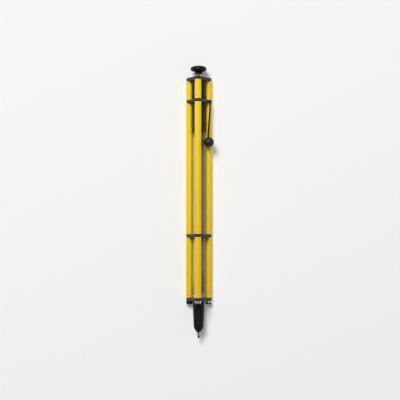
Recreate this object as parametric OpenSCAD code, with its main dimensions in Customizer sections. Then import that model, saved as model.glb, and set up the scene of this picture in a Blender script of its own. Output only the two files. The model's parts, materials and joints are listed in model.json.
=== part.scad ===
// Click ballpoint pen with an open frame: three round tubes in three bays, clamped between four plates.
// Along the pen, z starts at the top plate's upper face and runs to the writing tip.
// Across it, x points right and y points up. lay() then lays the pen down on its left and right tubes.

/* [Refill] */
// Outer diameter of the silver ink tube
refill_d = 5.6; // [4.8:0.1:6.4]
// Wall of the ink tube
refill_wall = 0.3; // [0.2:0.05:0.5]
// Length of the refill's rear that stands inside the mechanism barrel
refill_grip = 5.8; // [5:0.1:9]
// Thickness of the rear plug's head
plug_head_t = 1; // [0.6:0.1:1.5]
// Length of the spigots that close the ink tube at both ends
plug_spigot_l = 4; // [2:0.5:6]
// Thickness of the brass flange in front of the ink tube
flange_t = 0.8; // [0.5:0.1:1.5]
// Diameter of the brass neck inside the nose
neck_d = 2.6; // [2.4:0.1:3]
// Diameter of the brass point where it leaves the nose
point_d = 1.2; // [1.1:0.05:1.3]
// Diameter of the slim front part of the point
needle_d = 1; // [0.95:0.05:1.05]
// Length of the slim front part of the point
needle_l = 2; // [1.6:0.1:2.2]
// Length of the cone between the point and its slim front part
point_taper_l = 0.6; // [0.4:0.1:0.8]
// Diameter of the ink channel
ink_d = 0.5; // [0.3:0.05:0.6]
// Diameter of the writing ball
ball_d = 0.8; // [0.6:0.05:0.9]
// Height of the writing ball that stands out of its socket
ball_show = 0.24; // [0.16:0.02:0.3]
// Wall of the socket's lip around the writing ball
lip_wall = 0.04; // [0.02:0.01:0.06]
// Length of the point that stands out of the nose when the pen writes
point_out = 2.9; // [2.8:0.1:3.2]
// Depth of the point inside the nose when it is drawn in
point_tuck = 0.4; // [0.2:0.1:0.6]

/* [Frame] */
// Diameter of the yellow tubes
tube_d = 3.2; // [2.9:0.1:3.8]
// Length of the tubes between the top and clip plates
upper_tube_l = 9.2; // [8.5:0.1:14]
// Length of the tubes between the clip and middle plates
long_tube_l = 63.3; // [50:0.1:80]
// Length of the tubes between the middle and nose plates
lower_tube_l = 28.9; // [20:0.1:40]
// Thickness of the plates
plate_t = 1.5; // [1.2:0.1:2]
// Distance that the plates' round corners stay inside the tubes' outer faces
plate_inset = 0.15; // [0.05:0.05:0.25]
// Gap between the mechanism barrel and the tubes
tube_gap = 0.2; // [0.1:0.05:0.6]
// Diameter of the tie rods
rod_d = 1.6; // [1.2:0.1:1.8]
// Diameter of the tie rods' heads
rod_head_d = 3; // [2.4:0.1:3.2]
// Height of the tie rods' heads
rod_head_h = 1.6; // [1:0.1:2]
// Width across the flats of the socket in each head
rod_socket_w = 1.5; // [1:0.1:1.6]
// Height of the rounded rod end above the top plate
rod_end_h = 0.4; // [0.2:0.1:0.8]

/* [Click mechanism] */
// Wall of the mechanism barrel under its thread crests
barrel_wall = 0.6; // [0.5:0.05:0.9]
// Depth that the plain upper part of the barrel lies below the thread crests
barrel_step = 0.15; // [0.1:0.05:0.25]
// Thickness of the wall that closes the barrel's top
barrel_cap_t = 1.3; // [0.8:0.1:1.6]
// Pitch of the barrel's thread
thread_pitch = 0.75; // [0.5:0.05:1]
// Depth of the barrel's thread
thread_depth = 0.28; // [0.2:0.02:0.4]
// Length of thread below the clip plate
thread_l = 12.2; // [9:0.1:15]
// Width of the groove below the thread
groove_w = 0.5; // [0.3:0.1:0.8]
// Length of the barrel's tapered mouth
mouth_l = 1; // [0.8:0.1:4]
// Wall of the barrel at the end of its mouth
mouth_wall = 0.35; // [0.25:0.05:0.5]
// Depth of the slots between the guide ribs in the barrel
rib_h = 0.6; // [0.4:0.05:0.7]
// Room in the barrel behind the plunger when the point is drawn in
plunger_room = 4.1; // [3.5:0.1:4.5]
// Width of the slots between the guide ribs
slot_w = 1.5; // [1.2:0.1:1.8]
// Height of the saw teeth on plunger and rotor
tooth_h = 0.7; // [0.4:0.1:1]
// Length of the plunger crown, with its teeth
plunger_l = 3; // [2.5:0.1:3.5]
// Length of the rotor's toothed and finned part
rotor_l = 3; // [2.5:0.1:3.2]
// Diameter of the rotor's spigot that pushes on the refill
rotor_spigot_d = 3.6; // [3:0.1:4]
// Diameter of the push stem
stem_d = 2.9; // [2.4:0.1:3.2]
// Travel of the button past the writing position
click_over = 1; // [0.6:0.1:1.2]

/* [Button] */
// Diameter of the button
button_d = 7.7; // [6:0.1:8.2]
// Length of bright stem that shows between the top plate and the button's neck
stem_show = 1.4; // [1.3:0.1:3]
// Diameter of the button's neck
button_neck_d = 3.5; // [3.4:0.1:4.2]
// Length of the button's neck
button_neck_l = 1.35; // [0.5:0.05:2]
// Length of the flare from the neck to the rim
button_flare_l = 0.6; // [0.4:0.1:1.5]
// Thickness of the button's rim
button_rim_t = 1.5; // [0.8:0.1:2]
// Height of the button's domed top
button_dome_h = 0.85; // [0.4:0.05:1]

/* [Nose] */
// Length of the nose below its plate
nose_l = 14.8; // [14:0.1:17]
// Wall of the nose around the spring at the plate
nose_top_wall = 1.05; // [0.8:0.05:1.2]
// Wall of the nose around the spring, measured at the front shoulder
nose_front_wall = 0.5; // [0.3:0.05:0.6]
// Length of the nose's front, where it narrows to its mouth
nose_front_l = 2.3; // [2:0.1:2.6]
// Roundness of the nose's front, 1 for a straight cone
nose_front_curve = 1.3; // [1:0.1:2]
// Width of the flat ring around the nose's mouth
nose_lip = 0.2; // [0.15:0.05:0.4]
// Length of the nose's narrow mouth
nose_mouth_l = 1.6; // [1.4:0.1:2]
// Wall of the nose's spigot inside the nose plate
spigot_wall = 0.65; // [0.5:0.05:0.9]

/* [Return spring] */
// Diameter of the spring wire
spring_wire_d = 0.3; // [0.25:0.01:0.35]
// Number of curls
spring_turns = 11; // [8:1:14]
// Depth of the spring's seat behind the nose's mouth
spring_seat_depth = 4.8; // [4.2:0.1:5.6]

/* [Pocket clip] */
// Diameter of the clip wire
clip_wire_d = 0.7; // [0.6:0.05:0.8]
// Diameter of the clip ball
clip_ball_d = 4.8; // [4:0.1:6]
// Distance by which the wire enters the ball off its centre, towards the pen's axis
clip_ball_off = 0.7; // [0:0.1:0.9]
// Distance along the pen from the barrel's mouth to the clip ball
clip_past = 3.1; // [0.5:0.05:8]
// Distance of the wire's root from the right tube's centre, along the plate's edge
clip_side = 1.4; // [1.3:0.1:2]
// Depth of the wire's root in the plate
clip_root_l = 1; // [0.8:0.1:1.1]
// Distance from the plate's edge to the wire's straight run
clip_stand = 0.65; // [0.6:0.05:1.2]
// Bend radius of the wire, at its middle
clip_bend_r = 0.55; // [0.5:0.01:0.56]

/* [Clearances] */
// Radial play between the refill and the barrel's bore
refill_play = 0.1; // [0.08:0.01:0.15]
// Radial play of sliding and turning pieces
run_play = 0.06; // [0.04:0.01:0.1]
// Play in threads and press fits
thread_play = 0.02; // [0.01:0.01:0.04]
// Radial play of the tie rods in tubes and plates
rod_play = 0.08; // [0.05:0.01:0.15]
// Radial play of the refill in the middle plate
guide_play = 0.2; // [0.15:0.05:0.3]
// Radial play around the return spring, inside and outside
spring_play = 0.12; // [0.1:0.01:0.15]
// Gap between the plunger's and the rotor's teeth at rest
tooth_play = 0.3; // [0.2:0.05:0.4]
// Gap between the rotor and the ends of the guide ribs at rest
lock_gap = 0.6; // [0.4:0.1:0.8]
// Gap from the rotor to the refill's plug
push_play = 0.03; // [0.02:0.01:0.05]
// Gap between the refill's flange and the nose plate when the button is fully pressed
flange_gap = 0.5; // [0.3:0.1:0.8]
// Gap between the refill's neck and the nose's mouth when the button is fully pressed
neck_gap = 0.3; // [0.2:0.1:0.6]
// Radial play of the point in the nose's mouth
mouth_play = 0.08; // [0.05:0.01:0.12]
// Gap between the return spring's ends and their seats
spring_end_play = 0.02; // [0.01:0.01:0.05]
// Play of the writing ball in its socket
ball_play = 0.015; // [0.01:0.005:0.02]
// Radial play around the clip's root
clip_play = 0.09; // [0.08:0.01:0.1]
// Gap between the clip ball and the right tube
clip_gap = 0.1; // [0.05:0.05:0.3]
// Gap between the clip ball and the refill
clip_clear = 0.06; // [0.04:0.01:0.3]

/* [Hidden] */

$fn = 64;

yellow = "#f0cb2b";
dark_grey = "#4b4745";
black = "#262526";
silver = "#c9c9c6";
brass = "#c7a052";
white_plastic = "#dedcd6";

// Half the angle between two tubes
side_turn = 60;
// Tubes around the axis: front is up, left and right lie on the surface
FRONT = 90;
LEFT = FRONT + 2 * side_turn;
RIGHT = FRONT - 2 * side_turn;
TUBES = [FRONT, LEFT, RIGHT];

// Radii that follow from the refill outwards
bore_r = refill_d / 2 + refill_play;
barrel_r = bore_r + barrel_wall;
tube_r = tube_d / 2;
tube_circle_r = barrel_r + tube_gap + tube_r;
lobe_r = tube_r - plate_inset;
axis_h = tube_circle_r * cos(side_turn) + tube_r;
rod_hole_r = rod_d / 2 + rod_play;
spring_r = neck_d / 2 + spring_play + spring_wire_d / 2;
spring_bore_r = spring_r + spring_wire_d / 2 + spring_play;
spigot_r = spring_bore_r + spigot_wall;
stem_hole_r = stem_d / 2 + run_play;
mouth_r = point_d / 2 + mouth_play;
// The spigots that close the ink tube
refill_inner_r = refill_d / 2 - refill_wall - thread_play;

// Stations along the pen, from the top plate's upper face
upper_tube_z = plate_t;
clip_plate_z = upper_tube_z + upper_tube_l;
long_tube_z = clip_plate_z + plate_t;
middle_plate_z = long_tube_z + long_tube_l;
lower_tube_z = middle_plate_z + plate_t;
nose_plate_z = lower_tube_z + lower_tube_l;
nose_z = nose_plate_z + plate_t;
nose_mouth_z = nose_z + nose_l;
tip_z = nose_mouth_z + point_out;
click_travel = point_out + point_tuck;
rib_l = plunger_room + click_travel + plunger_l + tooth_play - lock_gap;
rib_end_z = plate_t + barrel_cap_t + rib_l;
groove_z = long_tube_z + thread_l;
taper_z = groove_z + groove_w;
barrel_end_z = taper_z + mouth_l;
rotor_z = rib_end_z + lock_gap;
plunger_end_z = rotor_z - tooth_play;
plunger_z = plunger_end_z - plunger_l;
refill_z = barrel_end_z - refill_grip;
ink_tube_z = refill_z + plug_head_t;
flange_end_z = nose_plate_z - click_over - flange_gap;
flange_z = flange_end_z - flange_t;
spring_seat_z = nose_mouth_z - spring_seat_depth;
neck_end_z = nose_mouth_z - nose_mouth_l - click_over - neck_gap;
needle_z = tip_z - needle_l;
button_neck_z = -stem_show;
button_flare_z = button_neck_z - button_neck_l;
button_rim_z = button_flare_z - button_flare_l;
button_dome_z = button_rim_z - button_rim_t;
button_top_z = button_dome_z - button_dome_h;
// The stem reaches up into the button as far as its rim
stem_top_z = button_rim_z;
mid_z = (tip_z + button_top_z) / 2;

// Saw teeth: two for each guide slot
slot_count = 4;
tooth_count = 2 * slot_count;

// Overlap that makes a cut pass right through a face
cut = 0.1;

// A step on a circle or a point at an angle
function ray(angle, r) = [r * cos(angle), r * sin(angle)];
// A point across the pen at a station along it
function at(across, z) = [across[0], across[1], z];
function unit(v) = v / norm(v);
// The angle between sides a and b of a triangle, across from side c
function corner_angle(a, b, c) = acos((a * a + b * b - c * c) / (2 * a * b));

// Lays the pen down: its tip points to -y, its front tube is on top, and the surface is at zero height
module lay() {
    translate([0, mid_z, axis_h])
        rotate([90, 0, 0])
            children();
}

// A round bar between two points
module bar(from, to, d) {
    v = to - from;
    translate(from)
        rotate([0, acos(v[2] / norm(v)), atan2(v[1], v[0])])
            cylinder(d = d, h = norm(v));
}

// A turned piece: the outline is a list of [radius, station] points
module turned(outline) {
    rotate_extrude()
        polygon(outline);
}

module ring(r, inner_r, z, l) {
    translate([0, 0, z])
        difference() {
            cylinder(r = r, h = l);
            translate([0, 0, -cut])
                cylinder(r = inner_r, h = l + 2 * cut);
        }
}

// Frame plates: a triangle with a round lobe over each tube, a hole for each rod and one hole on the axis
module plate(z, rod_hole, axis_hole) {
    translate([0, 0, z])
        linear_extrude(plate_t)
            difference() {
                union() {
                    polygon([
                        for (a = TUBES, turn = [-side_turn, side_turn])
                            ray(a, tube_circle_r) + ray(a + turn, lobe_r)
                    ]);
                    for (a = TUBES)
                        translate(ray(a, tube_circle_r))
                            circle(lobe_r);
                }
                for (a = TUBES)
                    translate(ray(a, tube_circle_r))
                        circle(rod_hole);
                circle(axis_hole);
            }
}

module top_plate() {
    color(dark_grey)
        plate(0, rod_d / 2 + thread_play, stem_hole_r);
}

module clip_plate() {
    color(dark_grey)
        difference() {
            plate(clip_plate_z, rod_hole_r, barrel_r + thread_play);
            bar(clip_edge + clip_out * cut, clip_edge - clip_out * (clip_root_l + clip_play),
                clip_wire_d + 2 * clip_play);
        }
}

module middle_plate() {
    color(dark_grey)
        plate(middle_plate_z, rod_hole_r, refill_d / 2 + guide_play);
}

module nose_plate() {
    color(dark_grey)
        plate(nose_plate_z, rod_hole_r, spigot_r + thread_play);
}

// One yellow tube of a bay
module tube(angle, z, l) {
    color(yellow)
        translate(ray(angle, tube_circle_r))
            ring(tube_r, rod_hole_r, z, l);
}

module upper_tube(angle) {
    tube(angle, upper_tube_z, upper_tube_l);
}

module long_tube(angle) {
    tube(angle, long_tube_z, long_tube_l);
}

module lower_tube(angle) {
    tube(angle, lower_tube_z, lower_tube_l);
}

// Three long screws: a socket head under the nose plate, and a rounded end that stands out of the top plate
module tie_rods() {
    head_edge = rod_head_h / 8;
    head_r = rod_head_d / 2;
    head_end_z = nose_z + rod_head_h;
    socket_l = rod_head_h / 2;
    rod_r = rod_d / 2;
    color(black)
        for (a = TUBES)
            translate(ray(a, tube_circle_r))
                difference() {
                    turned([
                        [0, -rod_end_h],
                        [rod_r / 2, -rod_end_h],
                        [rod_r, -rod_end_h / 3],
                        [rod_r, nose_z],
                        [head_r, nose_z],
                        [head_r, head_end_z - head_edge],
                        [head_r - head_edge, head_end_z],
                        [0, head_end_z]
                    ]);
                    translate([0, 0, head_end_z - socket_l])
                        rotate(a)
                            cylinder(d = rod_socket_w / cos(180 / 6), h = socket_l + cut, $fn = 6);
                }
}

// Mechanism barrel: a plain sleeve, a thread that screws into the clip plate, a groove and a tapered mouth
module mechanism_barrel() {
    crest_w = thread_pitch / 4;
    flank_w = thread_pitch / 4;
    root_r = barrel_r - thread_depth;
    ridges = floor((groove_z - clip_plate_z) / thread_pitch);
    plain_r = barrel_r - barrel_step;
    mouth_end_r = bore_r + mouth_wall;
    color(black)
        difference() {
            turned([
                [0, plate_t],
                [plain_r, plate_t],
                [plain_r, clip_plate_z],
                for (i = [0 : ridges - 1], p = [
                    [root_r, 0],
                    [barrel_r, flank_w],
                    [barrel_r, flank_w + crest_w],
                    [root_r, 2 * flank_w + crest_w]
                ])
                    [p[0], p[1] + clip_plate_z + i * thread_pitch],
                [root_r, taper_z],
                [plain_r, taper_z],
                [mouth_end_r, barrel_end_z],
                [0, barrel_end_z]
            ]);
            translate([0, 0, rib_end_z])
                cylinder(r = bore_r, h = barrel_end_z - rib_end_z + cut);
            translate([0, 0, plate_t + barrel_cap_t])
                linear_extrude(rib_l + cut)
                    slotted_bore(bore_r, bore_r - rib_h, slot_w);
            translate([0, 0, plate_t - cut])
                cylinder(r = stem_hole_r, h = barrel_cap_t + 2 * cut);
        }
}

// The cross-section of the guide: a round core with slots out to a larger radius
module slotted_bore(outer_r, core_r, width) {
    circle(core_r);
    intersection() {
        circle(outer_r);
        for (i = [1 : slot_count / 2])
            rotate(i * 360 / slot_count)
                square([2 * outer_r + cut, width], center = true);
    }
}

// A finned sleeve that fits the guide, with saw teeth at its front end
module toothed_sleeve(l) {
    tooth_w = 2 * bore_r * sin(180 / tooth_count);
    difference() {
        linear_extrude(l)
            slotted_bore(bore_r - run_play, bore_r - rib_h - run_play, slot_w - 2 * run_play);
        for (i = [0 : tooth_count - 1])
            rotate((i + 0.5) * 360 / tooth_count)
                rotate([90, 0, 90])
                    linear_extrude(bore_r)
                        polygon([
                            [-tooth_w / 2, l + cut],
                            [-tooth_w / 2, l - tooth_h],
                            [tooth_w / 2, l],
                            [tooth_w / 2, l + cut]
                        ]);
    }
}

// Plunger crown: pressed on the push stem, its fins keep it from turning and its teeth face the rotor
module click_plunger() {
    color(white_plastic)
        difference() {
            translate([0, 0, plunger_z])
                toothed_sleeve(plunger_l);
            translate([0, 0, plunger_z - cut])
                cylinder(r = stem_d / 2 + thread_play, h = plunger_l + 2 * cut);
        }
}

// Cam rotor: teeth towards the plunger, fins that enter the guide slots, and a spigot that pushes the refill
module cam_rotor() {
    spigot_end_z = refill_z - push_play;
    color(white_plastic) {
        translate([0, 0, rotor_z + rotor_l])
            mirror([0, 0, 1])
                toothed_sleeve(rotor_l);
        translate([0, 0, rotor_z + rotor_l])
            cylinder(d = rotor_spigot_d, h = spigot_end_z - rotor_z - rotor_l);
    }
}

module push_stem() {
    stem_end_z = plunger_end_z - tooth_h - tooth_play;
    color(silver)
        translate([0, 0, stem_top_z])
            cylinder(d = stem_d, h = stem_end_z - stem_top_z);
}

// Button: a neck, a flare and a domed rim, turned in one piece, with a blind hole for the stem
module button_cap() {
    button_r = button_d / 2;
    rim_edge = button_rim_t / 4;
    dome_steps = 6;
    color(black)
        difference() {
            turned([
                [0, button_neck_z],
                [button_neck_d / 2, button_neck_z],
                [button_neck_d / 2, button_flare_z],
                [button_r - rim_edge, button_rim_z],
                [button_r, button_rim_z - rim_edge],
                [button_r, button_dome_z + rim_edge],
                for (i = [0 : dome_steps - 1])
                    [
                        (button_r - rim_edge) * cos(90 * i / dome_steps),
                        button_dome_z - button_dome_h * sin(90 * i / dome_steps)
                    ],
                [0, button_top_z]
            ]);
            translate([0, 0, stem_top_z])
                cylinder(d = stem_d + 2 * thread_play, h = button_neck_z - stem_top_z + cut);
        }
}

module refill_plug() {
    color(black)
        turned([
            [0, refill_z],
            [refill_d / 2 - refill_wall, refill_z],
            [refill_d / 2, refill_z + refill_wall],
            [refill_d / 2, ink_tube_z],
            [refill_inner_r, ink_tube_z],
            [refill_inner_r, ink_tube_z + plug_spigot_l],
            [0, ink_tube_z + plug_spigot_l]
        ]);
}

module refill_tube() {
    color(silver)
        ring(refill_d / 2, refill_d / 2 - refill_wall, ink_tube_z, flange_z - ink_tube_z);
}

// Brass front of the refill: spigot, flange, neck and stepped point, drilled for the ink and the ball
module refill_nose() {
    flange_edge = flange_t / 4;
    lip_r = ball_d / 2 + lip_wall;
    lip_z = tip_z - ball_show;
    neck_chamfer = (neck_d - point_d) / 2;
    color(brass)
        difference() {
            turned([
                [0, flange_z - plug_spigot_l],
                [refill_inner_r, flange_z - plug_spigot_l],
                [refill_inner_r, flange_z],
                [refill_d / 2, flange_z],
                [refill_d / 2, flange_end_z - flange_edge],
                [refill_d / 2 - flange_edge, flange_end_z],
                [neck_d / 2, flange_end_z],
                [neck_d / 2, neck_end_z - neck_chamfer],
                [point_d / 2, neck_end_z],
                [point_d / 2, needle_z - point_taper_l],
                [needle_d / 2, needle_z],
                [lip_r, lip_z],
                [0, lip_z]
            ]);
            translate([0, 0, flange_z - plug_spigot_l - cut])
                cylinder(d = ink_d, h = tip_z - flange_z + plug_spigot_l);
            translate([0, 0, tip_z - ball_d / 2])
                sphere(d = ball_d + 2 * ball_play);
        }
}

module writing_ball() {
    color(silver)
        translate([0, 0, tip_z - ball_d / 2])
            sphere(d = ball_d);
}

// Nose: a spigot screwed into the nose plate, a slight cone, a rounded front and a stepped bore
module nose_cone() {
    top_r = spring_bore_r + nose_top_wall;
    front_r = spring_bore_r + nose_front_wall;
    shoulder_z = nose_mouth_z - nose_front_l;
    lip_r = mouth_r + nose_lip;
    round_steps = 6;
    neck_bore_r = neck_d / 2 + spring_play;
    color(black)
        difference() {
            turned([
                [0, nose_plate_z],
                [spigot_r, nose_plate_z],
                [spigot_r, nose_z],
                [top_r, nose_z],
                for (i = [0 : round_steps])
                    [
                        front_r + (lip_r - front_r) * pow(i / round_steps, nose_front_curve),
                        shoulder_z + nose_front_l * i / round_steps
                    ],
                [0, nose_mouth_z]
            ]);
            translate([0, 0, nose_plate_z - cut])
                cylinder(r = spring_bore_r, h = spring_seat_z - nose_plate_z + cut);
            translate([0, 0, nose_plate_z])
                cylinder(r = neck_bore_r, h = nose_mouth_z - nose_mouth_l - nose_plate_z);
            translate([0, 0, nose_plate_z])
                cylinder(r = mouth_r, h = nose_mouth_z - nose_plate_z + cut);
        }
}

// Return spring: one unbroken wire, wound from the refill's flange to the seat in the nose
curl_rings = 8;
spring_wire_sides = 6;
spring_rings = spring_turns * curl_rings;
spring_wire_r = spring_wire_d / 2;
spring_start_z = flange_end_z + spring_wire_r + spring_end_play;
spring_end_z = spring_seat_z - spring_wire_r - spring_end_play;
spring_l = spring_end_z - spring_start_z;
spring_path = [
    for (i = [0 : spring_rings])
        at(ray(i * 360 / curl_rings, spring_r), spring_start_z + spring_l * i / spring_rings)
];
spring_gap = min([
    for (i = [0 : spring_rings], j = [i + curl_rings / 2 : spring_rings])
        if (j <= spring_rings) norm(spring_path[i] - spring_path[j]) - spring_wire_d
]);

// A wire swept through rings of points, each ring counted the same way round
module swept_wire(rings) {
    count = len(rings[0]);
    last = (len(rings) - 1) * count;
    sides = [
        for (i = [0 : len(rings) - 2], k = [0 : count - 1])
            let (
                a = i * count + k,
                b = i * count + (k + 1) % count
            )
                each [[a, b, b + count], [a, b + count, a + count]]
    ];
    ends = [
        for (k = [1 : count - 2])
            each [[0, k + 1, k], [last, last + k, last + k + 1]]
    ];
    polyhedron([for (r = rings, p = r) p], concat(sides, ends));
}

// The ring around a point of a wire's path, from two directions square to the path
function wire_ring(centre, across, up, r, sides) = [
    for (k = [0 : sides - 1])
        let (round = ray(k * 360 / sides, r))
            centre + across * round[0] + up * round[1]
];

module return_spring() {
    echo(spring_least_gap_mm = spring_gap);
    color(silver)
        swept_wire([
            for (p = spring_path)
                wire_ring(p, unit([p[0], p[1], 0]), [0, 0, 1], spring_wire_r, spring_wire_sides)
        ]);
}

// Pocket clip: the wire's root stands in the edge of the clip plate between the front and right tubes
clip_face = RIGHT + side_turn;
clip_out = at(ray(clip_face, 1), 0);
clip_along = at(ray(clip_face + 90, 1), 0);
right_tube = at(ray(RIGHT, tube_circle_r), clip_plate_z + plate_t / 2);
clip_edge = right_tube + clip_out * lobe_r + clip_along * clip_side;
clip_corner = clip_edge + clip_out * clip_stand;
// The ball lies in the groove between the right tube and the refill, so three distances give its place
ball_to_tube = tube_r + clip_gap + clip_ball_d / 2;
ball_to_axis = refill_d / 2 + clip_clear + clip_ball_d / 2;
ball_turn = corner_angle(tube_circle_r, ball_to_axis, ball_to_tube);
clip_ball_at = at(ray(RIGHT + ball_turn, ball_to_axis), barrel_end_z + clip_past + clip_ball_d / 2);
clip_end = clip_ball_at - at(ray(RIGHT + ball_turn, clip_ball_off), 0);
clip_run = unit(clip_end - clip_corner);
clip_turn = acos(clip_run * clip_out);
clip_tangent = clip_bend_r * tan(clip_turn / 2);

// The wire: a straight root in the plate, a bend, and a straight run into the ball
module clip_wire() {
    sides = 16;
    bend_steps = 8;
    inward = unit(clip_run - clip_out * (clip_run * clip_out));
    across = cross(clip_out, inward);
    bend_start = clip_corner - clip_out * clip_tangent;
    bend_centre = bend_start + inward * clip_bend_r;
    bend = [
        for (i = [0 : bend_steps])
            let (turn = clip_turn * i / bend_steps)
                clip_out * sin(turn) - inward * cos(turn)
    ];
    color(black)
        swept_wire([
            wire_ring(clip_edge - clip_out * clip_root_l, bend[0], across, clip_wire_d / 2, sides),
            for (b = bend)
                wire_ring(bend_centre + b * clip_bend_r, b, across, clip_wire_d / 2, sides),
            wire_ring(clip_end, bend[bend_steps], across, clip_wire_d / 2, sides)
        ]);
}

module clip_ball() {
    color(black)
        difference() {
            translate(clip_ball_at)
                sphere(d = clip_ball_d);
            bar(clip_end - clip_run * clip_ball_d, clip_end + clip_run * thread_play,
                clip_wire_d + 2 * thread_play);
        }
}

lay() top_plate();
lay() clip_plate();
lay() middle_plate();
lay() nose_plate();
lay() upper_tube(FRONT);  // upper_tube_front
lay() upper_tube(LEFT);  // upper_tube_left
lay() upper_tube(RIGHT);  // upper_tube_right
lay() long_tube(FRONT);  // long_tube_front
lay() long_tube(LEFT);  // long_tube_left
lay() long_tube(RIGHT);  // long_tube_right
lay() lower_tube(FRONT);  // lower_tube_front
lay() lower_tube(LEFT);  // lower_tube_left
lay() lower_tube(RIGHT);  // lower_tube_right
lay() tie_rods();
lay() mechanism_barrel();
lay() nose_cone();
lay() return_spring();
lay() button_cap();
lay() push_stem();
lay() click_plunger();
lay() cam_rotor();
lay() refill_plug();
lay() refill_tube();
lay() refill_nose();
lay() writing_ball();
lay() clip_wire();
lay() clip_ball();
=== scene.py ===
"""A click ballpoint pen with an open frame of yellow tubes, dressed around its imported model."""

import json

import bmesh
import bpy
import numpy as np
from mathutils import Matrix, Vector
from mathutils.geometry import tessellate_polygon


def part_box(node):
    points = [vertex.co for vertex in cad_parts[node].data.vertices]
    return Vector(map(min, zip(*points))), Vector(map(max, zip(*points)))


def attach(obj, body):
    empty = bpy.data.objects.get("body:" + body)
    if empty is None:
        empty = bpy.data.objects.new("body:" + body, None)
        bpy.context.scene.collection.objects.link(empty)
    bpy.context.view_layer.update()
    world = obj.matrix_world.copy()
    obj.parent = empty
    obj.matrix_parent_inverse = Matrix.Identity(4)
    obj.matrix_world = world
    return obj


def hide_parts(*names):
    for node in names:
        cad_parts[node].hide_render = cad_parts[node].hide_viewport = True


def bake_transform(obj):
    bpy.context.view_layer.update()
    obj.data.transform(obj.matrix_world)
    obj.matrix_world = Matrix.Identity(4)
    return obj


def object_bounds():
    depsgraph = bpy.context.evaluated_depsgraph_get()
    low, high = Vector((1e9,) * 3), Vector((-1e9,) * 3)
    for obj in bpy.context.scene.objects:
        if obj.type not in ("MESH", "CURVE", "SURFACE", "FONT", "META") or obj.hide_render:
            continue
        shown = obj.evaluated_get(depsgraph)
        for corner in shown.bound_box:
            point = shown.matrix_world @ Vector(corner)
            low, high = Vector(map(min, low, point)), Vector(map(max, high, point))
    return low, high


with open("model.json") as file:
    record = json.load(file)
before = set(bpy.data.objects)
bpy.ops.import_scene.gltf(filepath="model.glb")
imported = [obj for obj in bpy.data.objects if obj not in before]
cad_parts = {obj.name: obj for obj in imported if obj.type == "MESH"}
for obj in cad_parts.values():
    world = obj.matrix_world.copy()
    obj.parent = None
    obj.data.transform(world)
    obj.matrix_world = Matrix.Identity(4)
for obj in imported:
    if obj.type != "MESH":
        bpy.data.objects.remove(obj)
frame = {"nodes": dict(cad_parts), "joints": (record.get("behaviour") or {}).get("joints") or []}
cad_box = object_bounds()

# Camera: two thirds of a metre above the pen, a little to its right and towards its tip, so the pen leans
# slightly in the picture. Up in the picture is +Y, from the writing tip to the button.
eye = Vector((0.0357, -0.0332, 0.666))
aim = Vector((0.00067, 0.00063, 0.00425))
picture_width = 0.192

back = (eye - aim).normalized()
right = Vector((0, 1, 0)).cross(back).normalized()
facing_pen = Matrix((right, back.cross(right), back)).transposed().to_4x4()
camera = bpy.data.objects.new("camera", bpy.data.cameras.new("camera"))
camera.matrix_world = Matrix.Translation(eye) @ facing_pen
camera.data.lens = camera.data.sensor_width * (eye - aim).length / picture_width
bpy.context.scene.collection.objects.link(camera)
bpy.context.scene.camera = camera
bpy.context.scene.view_settings.view_transform = "Standard"

# Yellow tubes: nine drawn metal tubes, three in each bay, lacquered yellow and cut square with small
# rounded edges. The plates clamp their ends. Their colour darkens towards the tip, which is painted shade
# of the light falling off along the pen. The lacquer is dulled here and there by handling, and thin at the
# rims.
MM = 0.001
BAYS = ("upper", "long", "lower")
SIDES = ("front", "left", "right")
tube_rim = 0.16 * MM
tube_bore = 0.88 * MM
bore_rim = 0.1 * MM
dull_cell = (2.5 * MM, 9 * MM, 2.5 * MM)
tube_shade_wander = 20 * MM
tube_draw_cell = (0.05 * MM, 6 * MM, 0.05 * MM)
tube_draw_depth = 0.002 * MM
grain_detail = 3.0
# How far wear reaches from an edge, the size of its patches, and where it starts and ends on the lacquer
wear_reach = 0.22 * MM
wear_patch = 0.5 * MM
lacquer_wear = (0.75, 1.35)
lacquer_wear_share = 0.55
# Where extra rows of points lie beside an edge, each end's share of a leg for them, and a fillet's rows
edge_rows = np.array((0.08, 0.2, 0.45, 1.0, 2.2)) * MM
leg_share = 1 / 2.2
fillet_rows = 5
# Points closer than this are merged, and edges that turn further than this stay sharp
merge_gap = 1e-8
sharp_angle = np.radians(40)


class Signal:
    """A socket of a material's nodes; sums and products with it add Math nodes."""

    def __init__(self, tree, socket=None):
        self.tree = tree
        self.socket = socket

    def make(self, kind, settings, sockets, out=0):
        """Adds a node, sets it up, fills or links its sockets, and gives one of its outputs."""
        node = self.tree.nodes.new(kind)
        for name, value in settings.items():
            setattr(node, name, value)
        for key, value in sockets.items():
            if isinstance(value, Signal):
                self.tree.links.new(value.socket, node.inputs[key])
            else:
                node.inputs[key].default_value = value
        return Signal(self.tree, node.outputs[out])

    def maths(self, operation, first, second):
        """A Math node of two values."""
        return self.make("ShaderNodeMath", {"operation": operation}, {0: first, 1: second})

    def __add__(self, other):
        return self.maths("ADD", self, other)

    def __sub__(self, other):
        return self.maths("SUBTRACT", self, other)

    def __rsub__(self, other):
        return self.maths("SUBTRACT", other, self)

    def __mul__(self, other):
        return self.maths("MULTIPLY", self, other)

    __radd__ = __add__
    __rmul__ = __mul__

    def into(self, node, socket):
        """Links this signal to a node's socket."""
        self.tree.links.new(self.socket, node.inputs[socket])


def finish(name, constants):
    """A new material with constants on its shader. Gives it, its shader and a signal to grow nodes from."""
    material = bpy.data.materials.new(name)
    material.use_nodes = True
    shader = material.node_tree.nodes["Principled BSDF"]
    for socket, value in constants.items():
        shader.inputs[socket].default_value = value
    return material, shader, Signal(material.node_tree)


def paint(code):
    """The linear colour of a hex code, by the sRGB curve."""
    part = np.array([int(code[i:i + 2], 16) for i in (1, 3, 5)]) / 255
    linear = np.where(part <= 0.04045, part / 12.92, ((part + 0.055) / 1.055) ** 2.4)
    return (*linear.tolist(), 1.0)


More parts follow.
